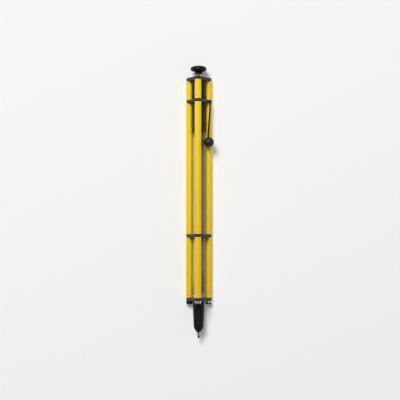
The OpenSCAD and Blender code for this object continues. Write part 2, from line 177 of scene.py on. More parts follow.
def position(start, parts):
    """Where a point of the surface lies along each named axis, in metres."""
    place = start.make("ShaderNodeTexCoord", {}, {}, "Object")
    return [start.make("ShaderNodeSeparateXYZ", {}, {"Vector": place}, part) for part in parts]


def grain(start, cell):
    """Noise around a half. Its cells have one size in metres, or one along each of x, y and z."""
    place = start.make("ShaderNodeTexCoord", {}, {}, "Object")
    scale = (1 / np.broadcast_to(cell, 3)).tolist()
    spread = start.make("ShaderNodeMapping", {}, {"Vector": place, "Scale": scale})
    return start.make("ShaderNodeTexNoise", {}, {"Vector": spread, "Scale": 1.0, "Detail": grain_detail})


def ramp(start, value, low, high):
    """A smooth step: 0 where the value is under low, 1 where it is over high."""
    sockets = {"Value": value, "From Min": low, "From Max": high}
    return start.make("ShaderNodeMapRange", {"interpolation_type": "SMOOTHSTEP"}, sockets)


def mix(start, share, first, second):
    """A colour between two, by the share of the second."""
    return start.make("ShaderNodeMix", {"data_type": "RGBA"}, {0: share, 6: first, 7: second}, 2)


def worn(start, low, high):
    """Where an edge is rubbed: the mesh's own wear, broken up by fine noise."""
    edge = start.make("ShaderNodeAttribute", {"attribute_name": "wear"}, {}, "Fac")
    return ramp(start, edge * (grain(start, wear_patch) + 0.5), low, high)


def relief(start, height, depth):
    """A bump of the given depth in metres where the height goes from 0 to 1."""
    return start.make("ShaderNodeBump", {}, {"Height": height, "Distance": depth, "Strength": 1.0})


def rounded(corners, closed=True):
    """Rows of (radius, station, wear) through corners of (radius, station, fillet).
    A fillet starts and ends its own length from the corner c, at a and b, and follows
    (1 - t)^2 a + 2 t (1 - t) c + t^2 b. Straight legs get extra rows close to their ends.
    Wear falls off from each filleted corner as exp(-distance / wear_reach)."""
    corner = np.array(corners, float)
    spot, fillet = corner[:, :2], corner[:, 2:]

    def towards(shift):
        leg = np.roll(spot, shift, axis=0) - spot
        return spot + leg / np.linalg.norm(leg, axis=1, keepdims=True) * fillet

    start, end = towards(1), towards(-1)
    t = np.linspace(0, 1, fillet_rows)[:, None]
    rows = []
    for i in range(len(spot)):
        if fillet[i] > 0:
            rows.append((1 - t) ** 2 * start[i] + 2 * t * (1 - t) * spot[i] + t ** 2 * end[i])
        else:
            rows.append(spot[i:i + 1])
        if closed or i + 1 < len(spot):
            leg = start[(i + 1) % len(spot)] - end[i]
            length = np.linalg.norm(leg)
            near = edge_rows[edge_rows < length * leg_share]
            steps = np.concatenate((near, length - near[::-1]))
            rows.append(end[i] + leg / length * steps[:, None])
    rows = np.concatenate(rows)
    sharp = spot[fillet[:, 0] > 0]
    gap = np.linalg.norm(rows[:, None] - sharp[None], axis=2).min(axis=1)
    return np.column_stack((rows, np.exp(-gap / wear_reach)))


def unworn(radius, station):
    """Rows of (radius, station, wear) on a curve that takes no wear."""
    return np.column_stack((*np.broadcast_arrays(radius, station), np.zeros(len(station))))


def surface(name, points, wear, closed):
    """A mesh from a grid of points: each row is a ring, and quads join it to the next row.
    A closed grid joins its last row to its first one. Rings of one point become poles."""
    rows, columns = points.shape[:2]
    index = np.arange(rows * columns).reshape(rows, columns)
    after = np.roll(index, -1, axis=0)
    quads = np.stack((index, np.roll(index, -1, axis=1), np.roll(after, -1, axis=1), after), axis=-1)
    quads = (quads if closed else quads[:-1]).reshape(-1, 4).tolist()
    return meshed(name, points.reshape(-1, 3), quads, np.repeat(wear, columns), sharp_angle)


def meshed(name, points, faces, wear, angle):
    """An object of points, faces and each point's wear: doubles are merged, faces point outwards, and edges
    that turn further than the angle stay sharp."""
    mesh = bpy.data.meshes.new(name)
    mesh.from_pydata(points.tolist(), [], faces)
    mesh.attributes.new("wear", "FLOAT", "POINT").data.foreach_set("value", wear)
    shape = bmesh.new()
    shape.from_mesh(mesh)
    bmesh.ops.remove_doubles(shape, verts=shape.verts, dist=merge_gap)
    bmesh.ops.recalc_face_normals(shape, faces=shape.faces)
    shape.to_mesh(mesh)
    shape.free()
    mesh.shade_smooth()
    mesh.set_sharp_from_angle(angle=angle)
    piece = bpy.data.objects.new(name, mesh)
    bpy.context.scene.collection.objects.link(piece)
    return piece


def turned(name, outline, origin, direction=(0, 1, 0), sides=96, closed=True, reshape=None):
    """An outline carried round a line: origin + direction * station + radius * (across * cos + along * sin)
    of the angle. reshape may change each point's radius from its radius, station and angle."""
    direction = np.array(direction, float) / np.linalg.norm(direction)
    across = np.cross(direction, (0, 0, 1))
    across /= np.linalg.norm(across)
    along = np.cross(direction, across)
    angle = np.linspace(0, 2 * np.pi, sides, endpoint=False)
    station = outline[:, 1:2]
    radius = np.repeat(outline[:, :1], sides, axis=1)
    if reshape:
        radius = reshape(radius, station, angle)
    ring = np.cos(angle)[:, None] * across + np.sin(angle)[:, None] * along
    points = np.array(origin) + station[:, :, None] * direction + radius[:, :, None] * ring
    return surface(name, points, outline[:, 2], closed)


def dress(piece, material, body, slot, *nodes):
    """Gives a piece its material and the body that it rides on, and hides the parts that it stands for.
    The slot is not used.
    """
    piece.data.materials.clear()
    piece.data.materials.append(material)
    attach(piece, body)
    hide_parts(*nodes)


lacquer, shader, start = finish("yellow_lacquer", {"Specular IOR Level": 0.5})
dulled = grain(start, dull_cell)
thin = worn(start, *lacquer_wear)
(station,) = position(start, "Y")
# Painted shade: the lacquer's colour darkens from the button end towards the tip
lacquer_painted_shade = 1 - ramp(start, station + (dulled - 0.5) * tube_shade_wander, cad_box[0][1], cad_box[1][1])
shaded_lacquer = mix(start, lacquer_painted_shade, paint("#fddb17"), paint("#ecc303"))
mix(start, thin * lacquer_wear_share, shaded_lacquer, paint("#f2e3a0")).into(shader, "Base Color")
(0.26 + dulled * 0.14 + thin * 0.1).into(shader, "Roughness")
relief(start, grain(start, tube_draw_cell), tube_draw_depth).into(shader, "Normal")

for bay in BAYS:
    for side in SIDES:
        node = f"{bay}_tube_{side}"
        low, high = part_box(node)
        radius = (high.z - low.z) / 2
        outline = rounded((
            (radius, low.y, tube_rim),
            (radius, high.y, tube_rim),
            (tube_bore, high.y, bore_rim),
            (tube_bore, low.y, bore_rim),
        ))
        middle = (low + high) / 2
        tube = turned(f"{node}_drawn", outline, (middle.x, 0, middle.z))
        dress(tube, lacquer, "frame", "yellow_tube", node)

# Plates: four dark anodised plates, rounded triangles with one hole on the axis and one for each tie rod.
# They are milled, so their faces are fine and flat and their edges are broken. The clip plate has a hole
# for the clip's root.
plate_inset = 0.15 * MM
plate_edge = 0.12 * MM
plate_sharp_angle = np.radians(20)
hole_edge = 0.06 * MM
edge_arc = np.radians(np.linspace(0, 90, 5))
corner_arc = np.linspace(-60, 60, 25)
axis_hole_points = 96
rod_hole_points = 40
drill_sides = 32
least_plate_wear = 0.1
plate_wear = (0.5, 1.3)
plate_wear_share = 0.6
plate_cloud = 1.5 * MM
mill_cell = (0.6 * MM, 0.03 * MM, 0.6 * MM)
mill_depth = 0.004 * MM
# Axis hole and rod hole of each plate
plate_holes = {
    "top_plate": (1.51 * MM, 0.82 * MM),
    "clip_plate": (3.52 * MM, 0.88 * MM),
    "middle_plate": (3.0 * MM, 0.88 * MM),
    "nose_plate": (2.51 * MM, 0.88 * MM),
}
tube_box = {side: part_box(f"long_tube_{side}") for side in SIDES}
tube_centre = {side: (low + high) / 2 for side, (low, high) in tube_box.items()}
tube_radius = (tube_box["left"][1].z - tube_box["left"][0].z) / 2
axis_height = (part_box("refill_tube")[0].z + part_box("refill_tube")[1].z) / 2
clip_joint = next(joint for joint in frame["joints"] if joint["name"] == "clip_flex")
clip_root = np.array(clip_joint["pos_m"])
clip_along = np.array(clip_joint["axis"])
clip_out = np.cross((0, 1, 0), clip_along)
clip_root_length = 1.0 * MM
clip_hole = 0.44 * MM
clip_hole_depth = 0.6 * MM


def circle(centre, radius, count):
    """Points (x, z) of a circle around a centre."""
    angle = np.linspace(0, 2 * np.pi, count, endpoint=False)
    return np.array(centre) + radius * np.column_stack((np.cos(angle), np.sin(angle)))


def triangle(inset):
    """Points (x, z) of the plate's outline, moved inwards: a third of a circle round each tube, joined by
    lines."""
    radius = tube_radius - plate_inset - inset
    arcs = []
    for side, facing in (("right", -30), ("front", 90), ("left", 210)):
        angle = np.radians(facing + corner_arc)
        centre = np.array((tube_centre[side].x, tube_centre[side].z))
        arcs.append(centre + radius * np.column_stack((np.cos(angle), np.sin(angle))))
    return np.concatenate(arcs)


def milled_plate(name, low, high, axis_hole, rod_hole):
    """A plate between two stations: the outline and each hole carry a quarter-round edge at both faces,
    edge * (1 - sin) inwards at edge * (1 - cos) from the face, and triangles fill the faces between
    them."""

    def hole(x, z, radius, count):
        return (lambda inset: circle((x, z), radius - inset, count)), hole_edge, -hole_edge

    loops = [(triangle, plate_edge, plate_edge), hole(0, axis_height, axis_hole, axis_hole_points)]
    loops += [hole(tube_centre[side].x, tube_centre[side].z, rod_hole, rod_hole_points) for side in SIDES]
    both_arcs = np.concatenate((edge_arc, edge_arc[::-1]))
    arc_wear = np.minimum(1, np.sin(2 * both_arcs) + least_plate_wear)
    points, quads, wear, faces = [], [], [], []
    count = 0
    for loop, edge, inward in loops:
        rise = edge * (1 - np.cos(edge_arc))
        levels = np.concatenate((low + rise, (high - rise)[::-1]))
        insets = (1 - np.sin(both_arcs)) * inward
        rings = np.array([np.insert(loop(inset), 1, level, axis=1) for inset, level in zip(insets, levels)])
        rows, columns = rings.shape[:2]
        index = count + np.arange(rows * columns).reshape(rows, columns)
        quad = np.stack((index, np.roll(index, -1, axis=1)), axis=-1)
        quads.append(np.concatenate((quad[:-1], quad[1:, :, ::-1]), axis=-1).reshape(-1, 4))
        points.append(rings.reshape(-1, 3))
        wear.append(np.repeat(arc_wear, columns))
        faces.append((index[0], index[-1]))
        count += rows * columns
    points = np.concatenate(points)
    polygons = np.concatenate(quads).tolist()
    for face in zip(*faces):
        fill = tessellate_polygon([[Vector(point) for point in points[ring]] for ring in face])
        polygons += np.concatenate(face)[np.array(fill)].tolist()
    return meshed(name, points, polygons, np.concatenate(wear), plate_sharp_angle)


def drilled(piece, start, end, radius):
    """The piece with a round hole between two points."""
    path = np.array(end) - np.array(start)
    length = np.linalg.norm(path)
    rod = np.array(((0, 0, 0), (radius, 0, 0), (radius, length, 0), (0, length, 0)))
    drill = turned("drill", rod, start, path, drill_sides, closed=False)
    cut = piece.modifiers.new("hole", "BOOLEAN")
    cut.object = drill
    left = bpy.data.meshes.new_from_object(piece.evaluated_get(bpy.context.evaluated_depsgraph_get()))
    left.set_sharp_from_angle(angle=sharp_angle)
    piece.modifiers.clear()
    piece.data = left
    bpy.data.objects.remove(drill)
    return piece


anodised, shader, start = finish("dark_anodised", {"Metallic": 0.5})
clouds = grain(start, plate_cloud)
bright = worn(start, *plate_wear)
skin = mix(start, clouds, paint("#2d2827"), paint("#443d3b"))
mix(start, bright * plate_wear_share, skin, paint("#8d8682")).into(shader, "Base Color")
(0.42 + clouds * 0.18 - bright * 0.1).into(shader, "Roughness")
relief(start, grain(start, mill_cell), mill_depth).into(shader, "Normal")

for node, (axis_hole, rod_hole) in plate_holes.items():
    low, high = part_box(node)
    plate = milled_plate(f"{node}_milled", low.y, high.y, axis_hole, rod_hole)
    if node == "clip_plate":
        hole_start = clip_root + clip_out * clip_root_length
        plate = drilled(plate, hole_start, clip_root - clip_out * clip_hole_depth, clip_hole)
    dress(plate, anodised, "frame", "dark_plate", node)

# Tie rods: three long black screws, one in each tube, with round socket heads under the nose plate and
# rounded ends that stand out of the top plate. The front and right heads have a bright turned band; the
# left head keeps its black oxide.
rod_radius = 0.8 * MM
rod_end = 0.35 * MM
head_radius = 1.5 * MM
head_edge = 0.22 * MM
head_seat_edge = 0.08 * MM
socket_flats = 1.5 * MM
socket_depth = 0.8 * MM
socket_point = 0.25 * MM
socket_lead = 1.12
socket_lead_depth = 0.06 * MM
socket_wear = 0.6
band_width = 1.05 * MM
band_edge = 0.1 * MM
oxide_cloud = 0.8 * MM
rod_turning_cell = (0.5 * MM, 0.02 * MM, 0.5 * MM)
rod_turning_depth = 0.002 * MM

low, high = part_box("tie_rods")
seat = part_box("nose_plate")[0].y
band_low = seat - band_width

oxide, shader, start = finish("black_oxide", {})
tint = grain(start, oxide_cloud)
across, station = position(start, "XY")
band = ramp(start, station, band_low, band_low + band_edge) - ramp(start, station, seat, seat + band_edge)
band = band * ramp(start, across, tube_centre["left"].x + head_radius, tube_centre["front"].x - head_radius)
skin = mix(start, tint, paint("#1c1a1a"), paint("#2c2928"))
bright = mix(start, tint, paint("#cdcac5"), paint("#e6e3de"))
mix(start, band, skin, bright).into(shader, "Base Color")
(0.4 + band * 0.6).into(shader, "Metallic")
(0.24 + tint * 0.15 - band * 0.06).into(shader, "Roughness")
relief(start, grain(start, rod_turning_cell), rod_turning_depth).into(shader, "Normal")

hex_corner = socket_flats / 2 / np.cos(np.pi / 6)
socket_outline = np.array((
    (hex_corner, low.y + socket_lead_depth, socket_wear),
    (hex_corner, low.y + socket_depth, 0),
    (0, low.y + socket_depth + socket_point, 0),
))
rod_outline = np.concatenate((
    rounded((
        (0, high.y, 0),
        (rod_radius, high.y, rod_end),
        (rod_radius, seat, 0),
        (head_radius, seat, head_seat_edge),
        (head_radius, low.y, head_edge),
        (hex_corner * socket_lead, low.y, 0),
    ), closed=False),
    socket_outline,
))
in_socket = np.arange(len(rod_outline)) >= len(rod_outline) - len(socket_outline)


def six_sided(radius, station, angle):
    """Inside the socket, a hexagon with that corner radius: radius * cos(30) / cos(angle from a flat)."""
    from_flat = np.mod(angle, np.pi / 3) - np.pi / 6
    return np.where(in_socket[:, None], radius * np.cos(np.pi / 6) / np.cos(from_flat), radius)


for side in SIDES:
    centre = (tube_centre[side].x, 0, tube_centre[side].z)
    rod = turned(f"tie_rod_{side}_turned", rod_outline, centre, closed=False, reshape=six_sided)
    dress(rod, oxide, "frame", "black_steel", "tie_rods")

# Mechanism barrel: a black anodised sleeve that holds the click parts. It is plain above the clip plate; a
# fine thread, rubbed towards its low end, goes through the clip plate and on below it, and a groove and a
# short tapered mouth follow.
barrel_low, barrel_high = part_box("mechanism_barrel")
barrel_radius = barrel_high.x
barrel_step = 0.15 * MM
barrel_sides = 144
thread_pitch = 0.75 * MM
thread_depth = 0.28 * MM
thread_fade = 0.5 * MM
thread_rows_per_turn = 12
thread_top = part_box("clip_plate")[1].y
rubbed_length = 6.0 * MM
rubbed_most = 1.2
rubbed_least = 0.1
groove_width = 0.5 * MM
mouth_length = 1.0 * MM
mouth_radius = 3.25 * MM
mouth_edge = 0.08 * MM
barrel_bore = 2.9 * MM
rib_height = 0.6 * MM
rib_length = 10.1 * MM
short_step = 0.02 * MM
slot_half = 0.86 * MM
cap_thickness = 1.3 * MM
stem_hole = 1.51 * MM
anodised_cell = (1.2 * MM, 3 * MM, 1.2 * MM)

sleeve, shader, start = finish("black_threaded", {"Specular IOR Level": 0.12})
clouds = grain(start, anodised_cell)
(station,) = position(start, "Y")
place = start.make("ShaderNodeTexCoord", {}, {}, "Object")
spoke_parts = {0: place, 1: (1, 0, 1), 2: (0, 0, -axis_height)}
spoke = start.make("ShaderNodeVectorMath", {"operation": "MULTIPLY_ADD"}, spoke_parts)
distance = start.make("ShaderNodeVectorMath", {"operation": "LENGTH"}, {0: spoke}, "Value")
threaded = 1 - ramp(start, station, thread_top - thread_fade, thread_top)
crest = threaded * ramp(start, distance, barrel_radius - thread_depth, barrel_radius)
rubbed = rubbed_most - ramp(start, station, barrel_low.y + mouth_length + rubbed_length, thread_top)
# The black is tinted warm brown, a painted reflection of the yellow tubes. The lighter thread crests are
# wear.
skin = mix(start, clouds, paint("#231b0e"), paint("#322818"))
mix(start, crest * rubbed * (clouds + rubbed_least), skin, paint("#6f5f42")).into(shader, "Base Color")
(0.28 + clouds * 0.16).into(shader, "Roughness")

taper_top = barrel_low.y + mouth_length
thread_low = taper_top + groove_width
thread_turns = (thread_top - thread_low) / thread_pitch
thread_rows = np.linspace(thread_top, thread_low, int(thread_turns * thread_rows_per_turn))
cap_low = barrel_high.y - cap_thickness
rib_low = cap_low - rib_length
plain_radius = barrel_radius - barrel_step
root_radius = barrel_radius - thread_depth
plain_corners = (
    (stem_hole, barrel_high.y),
    (plain_radius - mouth_edge, barrel_high.y),
    (plain_radius, barrel_high.y - mouth_edge),
    (plain_radius, thread_top + mouth_edge),
)
mouth_corners = (
    (root_radius, taper_top + mouth_edge),
    (plain_radius - mouth_edge, taper_top),
    (plain_radius, taper_top - mouth_edge),
    (plain_radius - short_step, taper_top - 3 * mouth_edge),
    (mouth_radius, barrel_low.y + mouth_edge),
    (mouth_radius - mouth_edge, barrel_low.y),
    (barrel_bore, barrel_low.y),
    (barrel_bore, rib_low - short_step),
    (barrel_bore, rib_low),
    (barrel_bore, cap_low),
    (stem_hole, cap_low),
)
barrel_outline = np.concatenate((
    unworn(*np.transpose(plain_corners)),
    unworn(root_radius, thread_rows),
    unworn(*np.transpose(mouth_corners)),
))


def threaded_and_slotted(radius, station, angle):
    """The thread is a trapezoid wave, clip(1.5 - 4 |phase - 1/2|), of station / pitch + turn, faded at both
    ends. Between the rib stations, the bore is narrower by the ribs' height outside four slots."""
    phase = np.mod(station / thread_pitch + angle / (2 * np.pi), 1)
    wave = np.clip(1.5 - 4 * np.abs(phase - 0.5), 0, 1)
    fade = np.clip(np.minimum(thread_top - station, station - thread_low) / thread_fade, 0, 1)
    outer = (radius > barrel_bore) & (station <= thread_top) & (station >= thread_low)
    ribbed = (radius == barrel_bore) & (station >= rib_low) & (station <= cap_low)
    in_slot = barrel_bore * np.minimum(np.abs(np.cos(angle)), np.abs(np.sin(angle))) < slot_half
    radius = radius + np.where(outer, thread_depth * wave * fade, 0)
    return radius - np.where(ribbed & ~in_slot, rib_height, 0)


axis = (0, 0, axis_height)
barrel = turned(
    "mechanism_barrel_turned", barrel_outline, axis, sides=barrel_sides, reshape=threaded_and_slotted
)
dress(barrel, sleeve, "frame", "black_metal", "mechanism_barrel")

# Button and push stem: a black mushroom button, turned with a slim neck, a flared underside, a full round
# rim and a domed top. It is pressed on a bright ground steel stem that runs down into the barrel.
button_low, button_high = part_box("button_cap")
button_radius = button_high.z - axis_height
neck_radius = 1.75 * MM
neck_length = 1.35 * MM
neck_fillet = 0.4 * MM
neck_edge = 0.12 * MM
flare_length = 0.6 * MM
rim_thickness = 1.5 * MM
rim_round = 0.6 * MM
rim_drop = 0.15 * MM
rim_fullness = 2.6
dome_angle = np.radians(np.linspace(90, 0, 25))
under_angle = np.radians(np.linspace(0, 90, 9))[1:-1]
stem_low, stem_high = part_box("push_stem")
stem_radius = stem_high.x
stem_fit = 0.02 * MM
stem_edge = 0.1 * MM
button_wear = (0.55, 1.3)
button_wear_share = 0.5
button_turning_cell = (0.8 * MM, 0.025 * MM, 0.8 * MM)
button_turning_depth = 0.004 * MM
stem_cloud = 1.5 * MM
stem_ground_cell = (0.6 * MM, 0.02 * MM, 0.6 * MM)
stem_ground_depth = 0.001 * MM

black, shader, start = finish("black_anodised", {"Specular IOR Level": 0.24})
clouds = grain(start, anodised_cell)
bright = worn(start, *button_wear)
skin = mix(start, clouds, paint("#0a0909"), paint("#141213"))
mix(start, bright * button_wear_share, skin, paint("#5d5957")).into(shader, "Base Color")
(0.36 + clouds * 0.16).into(shader, "Roughness")
relief(start, grain(start, button_turning_cell), button_turning_depth).into(shader, "Normal")

# The dome is a superellipse, radius * cos^(2 / fullness) at height * sin^(2 / fullness), and a quarter of
# an ellipse rounds the rim's underside
neck_top = button_low.y + neck_length
rim_low = neck_top + flare_length - rim_drop
rim_middle = neck_top + flare_length + rim_thickness / 2
button_outline = np.concatenate((
    unworn(
        button_radius * np.cos(dome_angle).clip(0) ** (2 / rim_fullness),
        rim_middle + (button_high.y - rim_middle) * np.sin(dome_angle) ** (2 / rim_fullness),
    ),
    unworn(
        button_radius - rim_round * (1 - np.cos(under_angle)),
        rim_middle - (rim_middle - rim_low) * np.sin(under_angle),
    ),
    rounded((
        (button_radius - rim_round, rim_low, 0),
        (neck_radius, neck_top, neck_fillet),
        (neck_radius, button_low.y, neck_edge),
        (stem_radius + stem_fit, button_low.y, 0),
        (stem_radius + stem_fit, stem_high.y, 0),
        (0, stem_high.y, 0),
    ), closed=False),
))
button = turned("button_cap_turned", button_outline, axis, closed=False)
dress(button, black, "button", "black_metal", "button_cap")

steel, shader, start = finish("bright_steel", {"Metallic": 1.0})
clouds = grain(start, stem_cloud)
mix(start, clouds, paint("#c9c8c4"), paint("#e2e1dd")).into(shader, "Base Color")
(0.12 + clouds * 0.12).into(shader, "Roughness")
relief(start, grain(start, stem_ground_cell), stem_ground_depth).into(shader, "Normal")

stem_outline = rounded((
    (0, stem_high.y, 0),
    (stem_radius, stem_high.y, stem_edge),
    (stem_radius, stem_low.y, stem_edge),
    (0, stem_low.y, 0),
), closed=False)
stem = turned("push_stem_ground", stem_outline, axis, closed=False)
dress(stem, steel, "button", "bright_steel", "push_stem")

# Click parts: the toothed plunger on the stem's end, the cam rotor below it and the refill's plug. They are
# moulded plastic and hidden in the barrel, so their solids stay as they are and take a finish only.
flow_cell = (0.9 * MM, 2 * MM, 0.9 * MM)
mould_cell = 0.06 * MM
mould_depth = 0.003 * MM


def moulded(name, dark, light, gloss):
    """A moulded plastic: flow marks between two colours, and a fine grain from the mould."""
    material, shader, start = finish(name, {})
    flow = grain(start, flow_cell)
    mix(start, flow, paint(dark), paint(light)).into(shader, "Base Color")
    (gloss + flow * 0.15).into(shader, "Roughness")
    relief(start, grain(start, mould_cell), mould_depth).into(shader, "Normal")
    return material


white_plastic = moulded("white_moulded", "#d6d3cb", "#e6e4de", 0.38)
black_plastic = moulded("black_moulded", "#1d1b1c", "#2c2a2a", 0.4)
click_parts = {"click_plunger": white_plastic, "cam_rotor": white_plastic, "refill_plug": black_plastic}
for node, material in click_parts.items():
    hidden_part = frame["nodes"][node]
    hidden_part.data.materials.clear()
    hidden_part.data.materials.append(material)

# Refill tube: a drawn silver ink tube, crimped on its front. Its silver is tinted tan, a painted reflection
# of the yellow tubes. Painted shade darkens its right side, under the barrel's mouth, under the middle
# plate and at its low end. It has a short row of plain tick marks.
ink_tube_low, ink_tube_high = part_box("refill_tube")
ink_tube_radius = ink_tube_high.x
ink_tube_wall = 0.3 * MM
ink_tube_edge = 0.06 * MM
crimp_place = 1.6 * MM
crimp_width = 0.9 * MM
crimp_depth = 0.09 * MM
crimp_share = np.linspace(-1, 1, 13)
painted_shade_length = 4.5 * MM
refill_shade_wander = 1.0 * MM
plate_shade_share = 0.8
end_shade_share = 0.4
painted_shade_width = 1.6 * MM
painted_shade_share = 0.6
middle_low, middle_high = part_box("middle_plate")
tick_pitch = 1.3 * MM
tick_run = 10.5 * MM
tick_low = axis_height + 1.25 * MM
tick_height = 0.65 * MM
tick_edge = 0.08 * MM
tick_wave = (-0.5, 0.2)
tick_share = 0.9
silver_cell = (1.5 * MM, 7 * MM, 1.5 * MM)
silver_draw_cell = (0.03 * MM, 5 * MM, 0.03 * MM)
silver_draw_depth = 0.0015 * MM

silver, shader, start = finish("drawn_silver", {"Specular IOR Level": 0.2})
clouds = grain(start, silver_cell)
across, station, height = position(start, "XYZ")
station = station + (clouds - 0.5) * refill_shade_wander
# Painted shade: darker under the barrel's mouth, under the middle plate and towards the low end
shade_under_mouth = ramp(start, station, barrel_low.y - painted_shade_length, barrel_low.y)
shade_under_plate = ramp(start, station, middle_low.y - painted_shade_length, middle_low.y)
shade_under_plate = shade_under_plate * (1 - ramp(start, station, middle_low.y, middle_high.y))
shade_at_low_end = 1 - ramp(start, station, ink_tube_low.y, ink_tube_low.y + 2 * painted_shade_length)
refill_shade = shade_under_mouth + shade_under_plate * plate_shade_share + shade_at_low_end * end_shade_share
# Painted reflection: the silver is tinted tan, as the yellow tubes tint it
skin = mix(start, clouds, paint("#bca868"), paint("#cbb878"))
# Painted shade: the right side, in the front tube's shadow, is darker
skin = mix(start, ramp(start, across, 0.0, painted_shade_width) * painted_shade_share, skin, paint("#5d5648"))
skin = mix(start, refill_shade, skin, paint("#453c2d"))
wave = start.maths("SINE", station * (2 * np.pi / tick_pitch), 0.0)
tick_high = tick_low + tick_height
tick_end = ink_tube_low.y + tick_run
ticks = ramp(start, wave, *tick_wave) * ramp(start, across, 0.0, tick_edge)
ticks = ticks * ramp(start, height, tick_low, tick_low + tick_edge)
ticks = ticks * (1 - ramp(start, height, tick_high, tick_high + tick_edge))
ticks = ticks * (1 - ramp(start, station, tick_end, tick_end + tick_edge))
mix(start, ticks * tick_share, skin, paint("#2b2620")).into(shader, "Base Color")
(0.4 + clouds * 0.14).into(shader, "Roughness")
relief(start, grain(start, silver_draw_cell), silver_draw_depth).into(shader, "Normal")

# The crimp is a groove of depth * cos^2
crimp = unworn(
    ink_tube_radius - crimp_depth * np.cos(np.pi / 2 * crimp_share) ** 2,
    ink_tube_low.y + crimp_place + crimp_share * crimp_width / 2,
)
ink_tube_outline = np.concatenate((
    rounded((
        (ink_tube_radius, ink_tube_high.y, ink_tube_edge),
        (ink_tube_radius - ink_tube_wall, ink_tube_high.y, 0),
        (ink_tube_radius - ink_tube_wall, ink_tube_low.y, 0),
        (ink_tube_radius, ink_tube_low.y, ink_tube_edge),
        (ink_tube_radius, ink_tube_low.y + crimp_place - crimp_width, 0),
    ), closed=False),
    crimp,
))
ink_tube = turned("refill_tube_drawn", ink_tube_outline, axis)
dress(ink_tube, silver, "refill", "refill_silver", "refill_tube")

# Refill front and writing ball: a turned brass front that tapers in steps to the point, plated where it
# meets the ink tube. A hard steel ball rolls in the point's lip, and the point's end is dark with ink.
front_low, front_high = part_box("refill_nose")
front_sides = 64
front_edge = 0.1 * MM
flange_edge = 0.2 * MM
flange_seat_edge = 0.05 * MM
flange_thickness = 0.8 * MM
front_neck_radius = 1.3 * MM
front_neck_in_nose = 2.9 * MM
point_radius = 0.6 * MM
point_fillet = 0.2 * MM
needle_radius = 0.5 * MM
needle_length = 2.0 * MM
needle_taper = 0.95
taper_length = 0.6 * MM
lip_radius = 0.44 * MM
lip_length = 0.4 * MM
ink_radius = 0.25 * MM
inked_length = 0.7 * MM
ink_fade = 1.4 * MM
ink_wander = 0.3 * MM
plating_fade = 0.5 * MM
brass_cell = (0.8 * MM, 1.5 * MM, 0.8 * MM)
brass_turning_cell = (0.5 * MM, 0.02 * MM, 0.5 * MM)
brass_turning_depth = 0.002 * MM
ball_low, ball_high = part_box("writing_ball")
ball_radius = (ball_high.y - ball_low.y) / 2
ball_station = (ball_high.y + ball_low.y) / 2
ball_play = 0.015 * MM
ball_sides = 48
ball_smear = 0.25 * MM

brass, shader, start = finish("turned_brass", {"Metallic": 1.0})
clouds = grain(start, brass_cell)
(station,) = position(start, "Y")
ink_edge = station + (clouds - 0.5) * ink_wander
inked = 1 - ramp(start, ink_edge, ball_low.y + inked_length, ball_low.y + ink_fade)
plated = ramp(start, station, seat - plating_fade, seat)
skin = mix(start, clouds, paint("#c39d58"), paint("#dcb972"))
skin = mix(start, plated, skin, paint("#86827a"))
mix(start, inked, skin, paint("#33281d")).into(shader, "Base Color")
(0.22 + clouds * 0.14 + inked * 0.15).into(shader, "Roughness")
relief(start, grain(start, brass_turning_cell), brass_turning_depth).into(shader, "Normal")

# The ball's socket is an arc with the ball's radius and its play, from the point's lip to the ink hole
socket_radius = ball_radius + ball_play
socket_start = np.arcsin((front_low.y - ball_station) / socket_radius)
socket_end = np.arccos(ink_radius / socket_radius)
socket_angle = np.linspace(socket_start, socket_end, 9)
socket = unworn(socket_radius * np.cos(socket_angle), ball_station + socket_radius * np.sin(socket_angle))
plug_radius = ink_tube_radius - ink_tube_wall - stem_fit
flange_low = ink_tube_low.y - flange_thickness
front_neck_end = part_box("nose_cone")[0].y + front_neck_in_nose
front_outline = np.concatenate((
    rounded((
        (ink_radius, front_high.y, 0),
        (plug_radius, front_high.y, front_edge),
        (plug_radius, ink_tube_low.y, 0),
        (ink_tube_radius, ink_tube_low.y, flange_seat_edge),
        (ink_tube_radius, flange_low, flange_edge),
        (front_neck_radius, flange_low, front_edge),
        (front_neck_radius, front_neck_end + front_neck_radius - point_radius, front_edge),
        (point_radius, front_neck_end, front_edge),
        (point_radius, ball_low.y + needle_length + taper_length, point_fillet),
        (needle_radius, ball_low.y + needle_length, point_fillet),
        (needle_radius * needle_taper, front_low.y + lip_length, front_edge),
        (lip_radius, front_low.y, 0),
    ), closed=False),
    socket,
))
front = turned("refill_nose_turned", front_outline, axis, sides=front_sides)
dress(front, brass, "refill", "brass", "refill_nose")

hard_steel, shader, start = finish("hard_steel", {"Metallic": 1.0})
smears = grain(start, ball_smear)
mix(start, smears, paint("#3a3a3f"), paint("#77777a")).into(shader, "Base Color")
(0.1 + smears * 0.2).into(shader, "Roughness")

ball_angle = np.linspace(-np.pi / 2, np.pi / 2, 33)
ball_outline = unworn(ball_radius * np.cos(ball_angle), ball_station + ball_radius * np.sin(ball_angle))
writing_ball = turned("writing_ball_ground", ball_outline, axis, sides=ball_sides, closed=False)
dress(writing_ball, hard_steel, "ball", "bright_steel", "writing_ball")

# Nose: a black turned cone that screws into the nose plate with a short spigot. Its front narrows in a
# slightly curved cone to a mouth for the point, and its stepped bore holds the return spring.
nose_low, nose_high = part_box("nose_cone")
nose_sides = 128
nose_top_radius = nose_high.x
nose_top_edge = 0.15 * MM
nose_front_radius = 2.34 * MM
nose_front_length = 2.3 * MM
nose_front_curve = 1.3
nose_front_share = np.linspace(0, 1, 13)
shoulder_row = 0.1 * MM
shoulder_rise = 0.004 * MM
mouth_lip = 0.88 * MM
mouth_bore = 0.68 * MM
mouth_bore_edge = 0.06 * MM
mouth_depth = 1.6 * MM
nose_neck_bore = 1.42 * MM
spring_bore = 1.84 * MM
spring_seat_depth = 4.8 * MM
spring_seat = nose_low.y + spring_seat_depth
spigot_radius = 2.49 * MM
spigot_edge = 0.1 * MM

